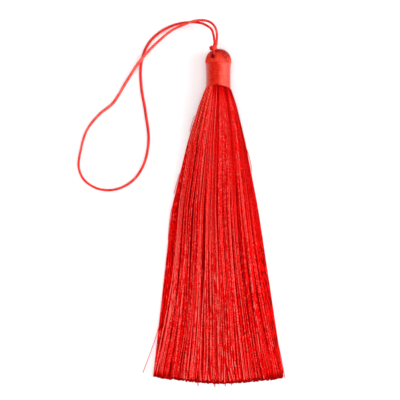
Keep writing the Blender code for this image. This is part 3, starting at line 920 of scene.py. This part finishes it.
stray_paths = np.array([spread_evenly(smooth_path(fibre), STRAY_RINGS) for fibre in STRAY_FIBRES])
past_cut = stray_paths[:, -1:, 1] < END_Y * MM
stray_radii = np.where(past_cut, STRAY_END_RADIUS, STRAY_RADIUS) * MM
stray_mesh = array_of(straight_rod("stray_fibres", STRAY_CORNERS, STRAY_RINGS), len(STRAY_FIBRES))
lay_rods(stray_mesh, stray_paths, stray_radii, UPWARD, rng.uniform(*STRAY_SHADES, (len(STRAY_FIBRES), 1)))
add_piece("stray_fibres", stray_mesh, thread_silk, "thread", "thread_bundle")


# Neck winding.
# A fine shiny thread wound tight round the folded bundle, turn beside turn, with its end drawn under.
# Three of its turns ride over the others. It is pressed flat where the tassel lies on the surface.
WINDING_RADIUS = 4.62
WINDING_TOP_Y = 59.4
WINDING_BOTTOM_Y = 50.5
WINDING_THREAD_RADIUS = 0.16
WINDING_THREAD_FLATNESS = 0.56
WINDING_THREAD_CORNERS = 10
WINDING_TURNS = 39
RINGS_A_TURN = 56
WINDING_WANDER = 0.035
WINDING_WANDER_WAVES = (11, 23, 37)
WINDING_SHADE_WAVES = (9, 21, 67)
# No turn lies quite at the height of the next, and those at both ends stand out a little.
TURN_BULGE = 0.012
LONG_BULGE = 0.5
LONG_BULGE_WAVES = (31, 53)
TURNS_RAISED = 0.02
TOP_FLARE = 0.26
TOP_FLARE_LENGTH = 1.6
BOTTOM_FLARE = 0.08
BOTTOM_FLARE_LENGTH = 1.5
# The lower edge is arched, with its middle up, and both edges slant a little.
ARCH_LENGTH = 4
ARCH_DROP = 1.1
EDGE_SLANT = 0.15
TOP_SLANT_LENGTH = 3
Ride = namedtuple("Ride", "start_y share drift")
RIDING_TURNS = (Ride(51.6, 0.5, -0.8), Ride(54.0, 0.55, 1.3), Ride(57.0, 0.6, 1.5))
RIDING_RINGS = 60
RIDING_MIDDLE = math.radians(20)
RIDING_LOWER = 0.08
RIDING_DIVE = 0.2
RIDING_DIVE_CURVE = 0.3
RIDING_SHADE = 0.8
SLEEVE_RADIUS = 4.42
SLEEVE_SIDES = 48
SLEEVE_SHORTER = 0.3
SLEEVE_LOWEST = 0.05
NORTHWARD = np.array([0.0, 1.0, 0.0])


def round_neck(angle, y, radius):
    """Places round the neck's axis, in metres, no lower than the surface allows."""
    x = radius * np.sin(angle)
    lowest = WINDING_THREAD_RADIUS * WINDING_THREAD_FLATNESS
    z = np.maximum(AXIS_HEIGHT + radius * np.cos(angle), lowest)
    return np.stack([x, y, z], axis=-1) * MM


def winding_thread(name, path, shades):
    """A stretch of the thread, pressed flat against what it is wound on."""
    mesh = straight_rod(name, WINDING_THREAD_CORNERS, len(path))
    mesh.transform(Matrix.Diagonal((1.0, WINDING_THREAD_FLATNESS, 1.0, 1.0)))
    lay_rods(mesh, path[None], WINDING_THREAD_RADIUS * MM, NORTHWARD, shades)
    return mesh


def wound_turns(rng):
    """The close turns, from the skirt's side to the head's."""
    rings = WINDING_TURNS * RINGS_A_TURN + 1
    turned = np.linspace(0, WINDING_TURNS, rings)
    wander = slow_noise(rng, 1, rings, WINDING_WANDER_WAVES)[0]
    each_turn = rng.uniform(-1, 1, WINDING_TURNS + 1)
    bulge = np.interp(turned, np.arange(WINDING_TURNS + 1), each_turn)
    bulge += LONG_BULGE * slow_noise(rng, 1, rings, LONG_BULGE_WAVES)[0]
    bottom = WINDING_BOTTOM_Y + WINDING_THREAD_RADIUS
    top = WINDING_TOP_Y - WINDING_THREAD_RADIUS
    y = np.linspace(bottom, top, rings) + WINDING_WANDER * wander
    angle = math.tau * turned
    near_bottom = np.clip(1 - (y - WINDING_BOTTOM_Y) / ARCH_LENGTH, 0, 1)
    near_top = np.clip(1 - (WINDING_TOP_Y - y) / TOP_SLANT_LENGTH, 0, 1)
    y = y - near_bottom * (EDGE_SLANT * np.sin(angle) + ARCH_DROP * np.sin(angle) ** 2)
    y = y + EDGE_SLANT * near_top * np.sin(angle)
    flare = TOP_FLARE * np.exp((y - WINDING_TOP_Y) / TOP_FLARE_LENGTH)
    flare = flare + BOTTOM_FLARE * np.exp((WINDING_BOTTOM_Y - y) / BOTTOM_FLARE_LENGTH)
    radius = WINDING_RADIUS - WINDING_THREAD_RADIUS * WINDING_THREAD_FLATNESS
    radius = radius + TURN_BULGE * bulge + TURNS_RAISED + flare
    shades = 0.5 + 0.5 * slow_noise(rng, 1, rings, WINDING_SHADE_WAVES)
    return winding_thread("turns", round_neck(angle, y, radius), shades)


def riding_turn(start_y, share, drift):
    """A turn that rides over the others at a slant, and dives in at both ends."""
    along = np.linspace(0, 1, RIDING_RINGS)
    angle = math.tau * (share * (along - 0.5)) + RIDING_MIDDLE
    sunk = RIDING_DIVE * (1 - np.sin(math.pi * along) ** RIDING_DIVE_CURVE)
    path = round_neck(angle, start_y + drift * along, WINDING_RADIUS - RIDING_LOWER - sunk)
    return winding_thread("riding", path, RIDING_SHADE)


def under_sleeve():
    """The bundle's surface under the turns: a plain closed tube that no light gets through."""
    bottom = WINDING_BOTTOM_Y + SLEEVE_SHORTER
    length = WINDING_TOP_Y - WINDING_BOTTOM_Y - 2 * SLEEVE_SHORTER
    bm = bmesh.new()
    bmesh.ops.create_cone(bm, cap_ends=True, segments=SLEEVE_SIDES, radius1=1, radius2=1, depth=1)
    for vert in bm.verts:
        x, y, z = vert.co
        vert.co.x = SLEEVE_RADIUS * x * MM
        vert.co.y = (bottom + (z + 0.5) * length) * MM
        vert.co.z = max((AXIS_HEIGHT + SLEEVE_RADIUS * y) * MM, SLEEVE_LOWEST * MM)
    bmesh.ops.recalc_face_normals(bm, faces=bm.faces)
    mesh = bpy.data.meshes.new("sleeve")
    bm.to_mesh(mesh)
    bm.free()
    mesh.shade_smooth()
    mesh.set_sharp_from_angle(angle=SHARP_ANGLE)
    return mesh


winding_silk = silk(
    "winding_silk",
    colours=((0.55, 0.001, 0.0003), (0.70, 0.008, 0.001), (0.85, 0.03, 0.008)),
    plies=2,
    turns=900.0,
    fibres=1500.0,
    relief=0.15,
    streaks=(450.0, 900.0, 450.0),
    contrast=1.6,
    level=0.0,
    evenness=0.8,
    gloss=1.55,
    tint=(1.0, 0.88, 0.68),
    roughness=0.22,
)
winding_meshes = [wound_turns(rng)]
winding_meshes += [riding_turn(*ride) for ride in RIDING_TURNS]
winding_meshes.append(under_sleeve())
winding_mesh = joined("neck_winding", winding_meshes)
add_piece("neck_winding", winding_mesh, winding_silk, "binding", "neck_binding")


# Surface and light.
# A plain pale surface under a dark ceiling. The light comes in low and soft: most of it through one large
# opening on the right, the rest evenly from the pale walls all round.
FLOOR_SIDE = 3.0
FLOOR_COLOUR = (0.98, 0.975, 0.98, 1.0)
FLOOR_ROUGHNESS = 0.9
LIGHT_PLACE = (0.95, 0.1, 0.6)
LIGHT_WIDTH = 0.45
LIGHT_HEIGHT = 0.85
LIGHT_POWER = 7.0
GLEAM_PLACE = (0.75, 0.1, 0.75)
GLEAM_WIDTH = 0.5
GLEAM_HEIGHT = 1.0
GLEAM_POWER = 14.0
FILL_PLACE = (-0.2, -0.1, 1.2)
FILL_SIZE = 1.8
FILL_POWER = 21.0
ROOM_COLOUR = (1.0, 0.99, 1.0, 1.0)
WALL_STRENGTH = 0.5
CEILING_STRENGTH = 0.05
WALL_TOP = 0.35
CEILING_EDGE = 0.9
FAR_WALL_DARKER = 0.85
RIGHT_WALL_BRIGHTER = 0.95

bm = bmesh.new()
bmesh.ops.create_grid(bm, x_segments=1, y_segments=1, size=FLOOR_SIDE / 2)
floor_mesh = bpy.data.meshes.new("floor")
bm.to_mesh(floor_mesh)
bm.free()
floor_material = bpy.data.materials.new("pale_surface")
floor_material.use_nodes = True
floor_shader = floor_material.node_tree.nodes["Principled BSDF"]
floor_shader.inputs["Base Color"].default_value = FLOOR_COLOUR
floor_shader.inputs["Roughness"].default_value = FLOOR_ROUGHNESS
floor_mesh.materials.append(floor_material)
floor = bpy.data.objects.new("floor", floor_mesh)
bpy.context.scene.collection.objects.link(floor)


def area_light(name, place, width, height, power):
    """A soft light that faces the tassel."""
    data = bpy.data.lights.new(name, "AREA")
    data.shape = "RECTANGLE"
    data.size = width
    data.size_y = height
    data.energy = power
    light = bpy.data.objects.new(name, data)
    light.location = place
    light.rotation_euler = (-Vector(place)).to_track_quat("-Z", "Y").to_euler()
    bpy.context.scene.collection.objects.link(light)
    return light


area_light("opening", LIGHT_PLACE, LIGHT_WIDTH, LIGHT_HEIGHT, LIGHT_POWER)
fill = area_light("fill", FILL_PLACE, FILL_SIZE, FILL_SIZE, FILL_POWER)
fill.visible_glossy = False
gleam = area_light("gleam", GLEAM_PLACE, GLEAM_WIDTH, GLEAM_HEIGHT, GLEAM_POWER)
gleam.visible_diffuse = False

world = bpy.data.worlds.new("room")
world.use_nodes = True
room = world.node_tree
outward = add_node(room, "ShaderNodeTexCoord", {}).outputs["Generated"]
outward = add_node(room, "ShaderNodeSeparateXYZ", {"Vector": outward})
glow = add_node(
    room,
    "ShaderNodeMapRange",
    {
        "Value": outward.outputs["Z"],
        "From Min": WALL_TOP,
        "From Max": CEILING_EDGE,
        "To Min": WALL_STRENGTH,
        "To Max": CEILING_STRENGTH,
    },
    interpolation_type="SMOOTHSTEP",
)
far_wall = calculate(room, "MAXIMUM", outward.outputs["Y"], 0.0)
far_wall = calculate(room, "MULTIPLY_ADD", far_wall, -FAR_WALL_DARKER, 1.0)
right_wall = calculate(room, "MULTIPLY_ADD", outward.outputs["X"], RIGHT_WALL_BRIGHTER, 1.0)
walls = calculate(room, "MULTIPLY", far_wall, right_wall)
strength = calculate(room, "MULTIPLY", glow.outputs["Result"], walls)
room.links.new(strength, room.nodes["Background"].inputs["Strength"])
room.nodes["Background"].inputs["Color"].default_value = ROOM_COLOUR
bpy.context.scene.world = world
bpy.context.scene.view_settings.view_transform = "Standard"
